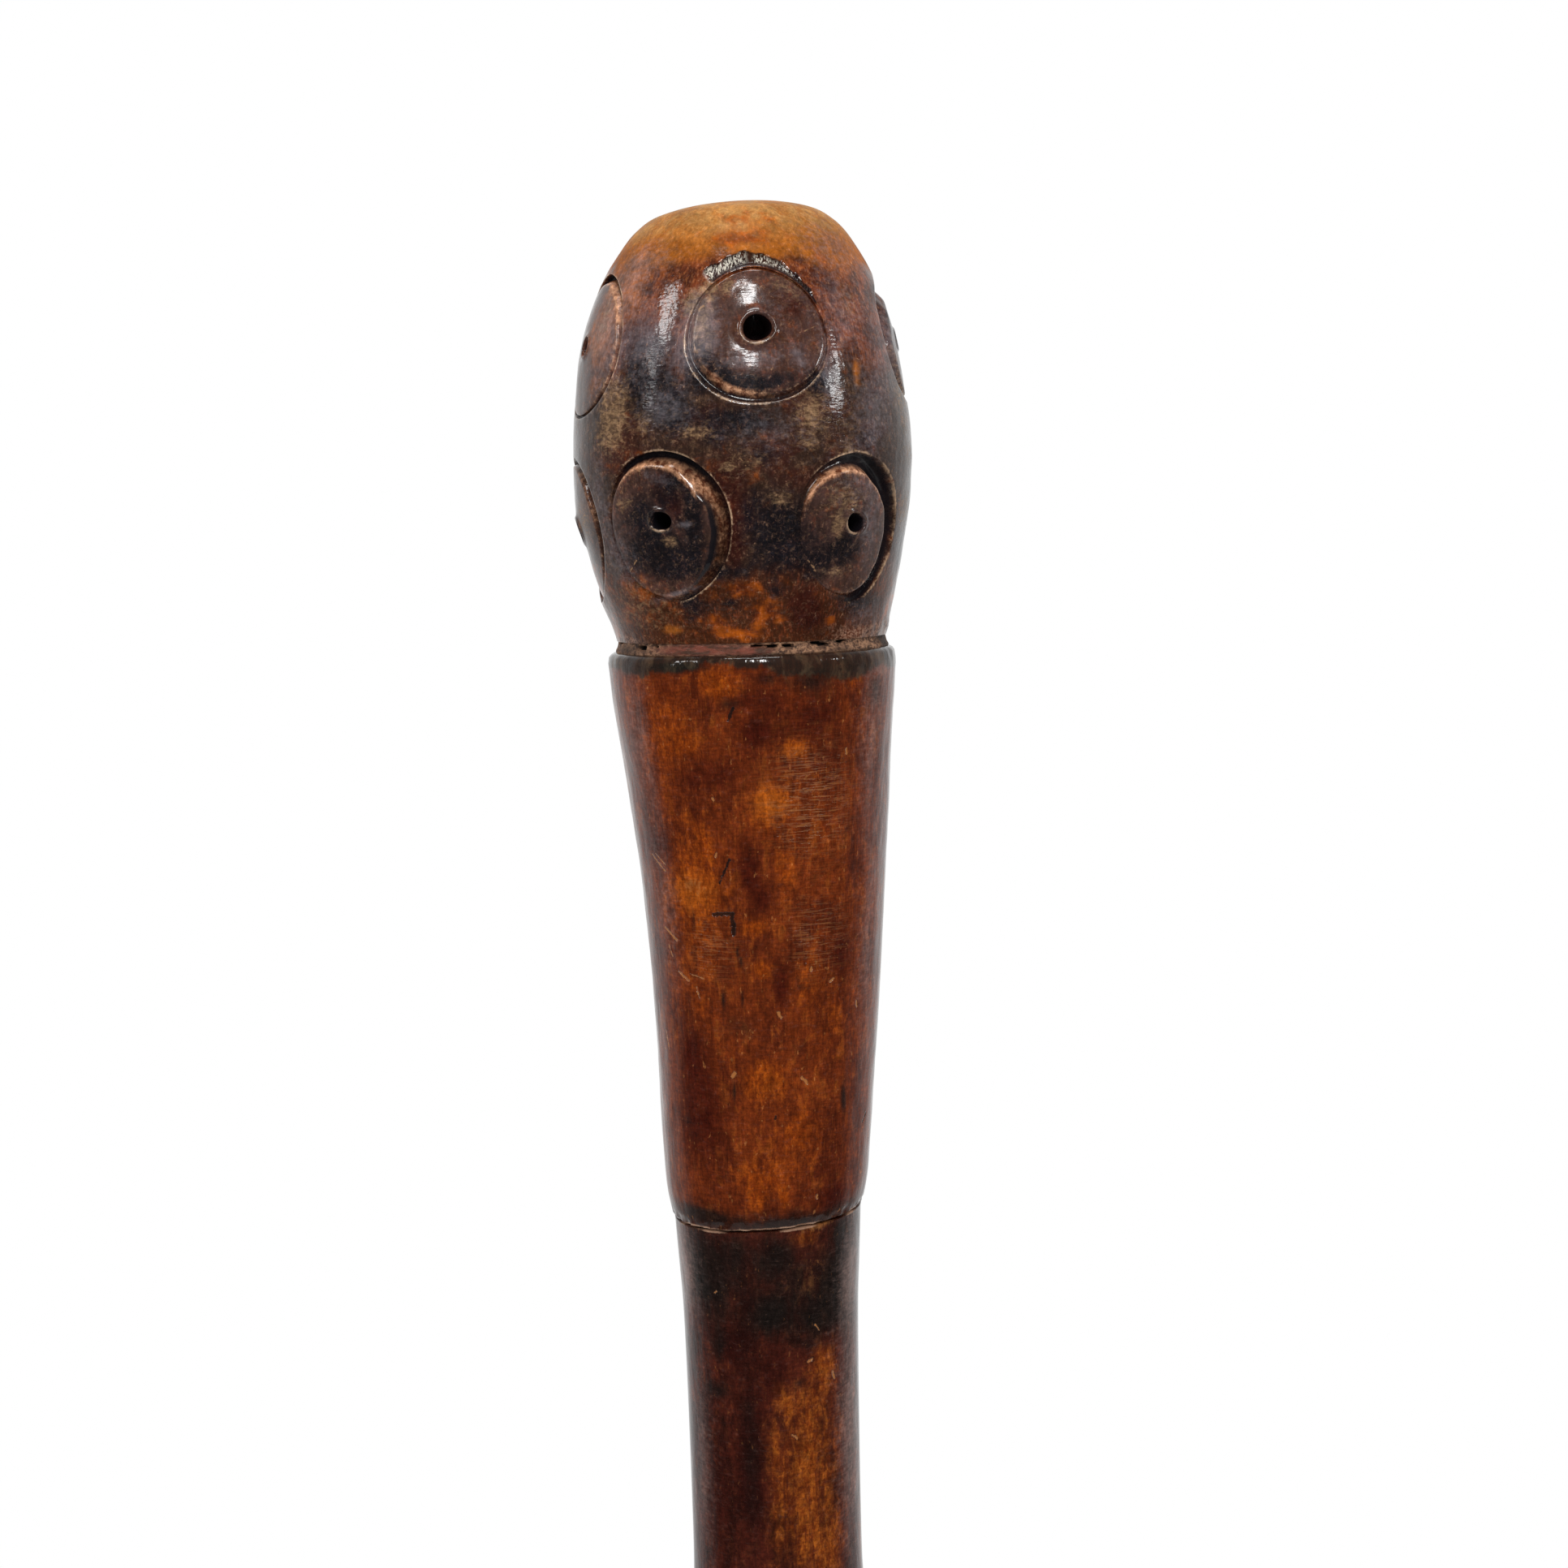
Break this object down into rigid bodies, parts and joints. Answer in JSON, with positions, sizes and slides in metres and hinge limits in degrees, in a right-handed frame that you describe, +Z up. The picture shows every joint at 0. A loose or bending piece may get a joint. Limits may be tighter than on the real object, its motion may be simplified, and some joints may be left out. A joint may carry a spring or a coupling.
{
  "type": "walking cane",
  "caption": "Straight walking cane with a carved root knob, a tapered grip section, a noded culm shaft and a pinned brass ferrule with an iron tip.",
  "frame": {"origin": "centre of the iron ferrule tip's flat bottom face", "axes": "+Z up along the cane towards the knob; the carved front faces -Y and +X is to its right"},
  "size_m": [0.0414, 0.0412, 0.9],
  "materials": {
    "root_wood": "aged glossy lacquer over a dark, mottled root",
    "filler_crust": "matt, crumbly old filler of glue and wood dust",
    "grip_wood": "aged glossy lacquer over a mahogany brown culm",
    "shaft_wood": "aged glossy lacquer over a stained culm",
    "hardwood": "bare turned hardwood",
    "brass": "dulled, handled brass",
    "iron": "worn iron, brightened where it meets the ground"
  },
  "bodies": {
    "root": {"carved_knob": "root_wood", "neck_filler": "filler_crust", "grip_section": "grip_wood", "core_dowel": "hardwood", "shaft": "shaft_wood", "tip_plug": "hardwood", "ferrule_sleeve": "brass", "ferrule_tip": "iron", "ferrule_pin_front": "brass", "ferrule_pin_back": "brass"}
  },
  "joints": []
}
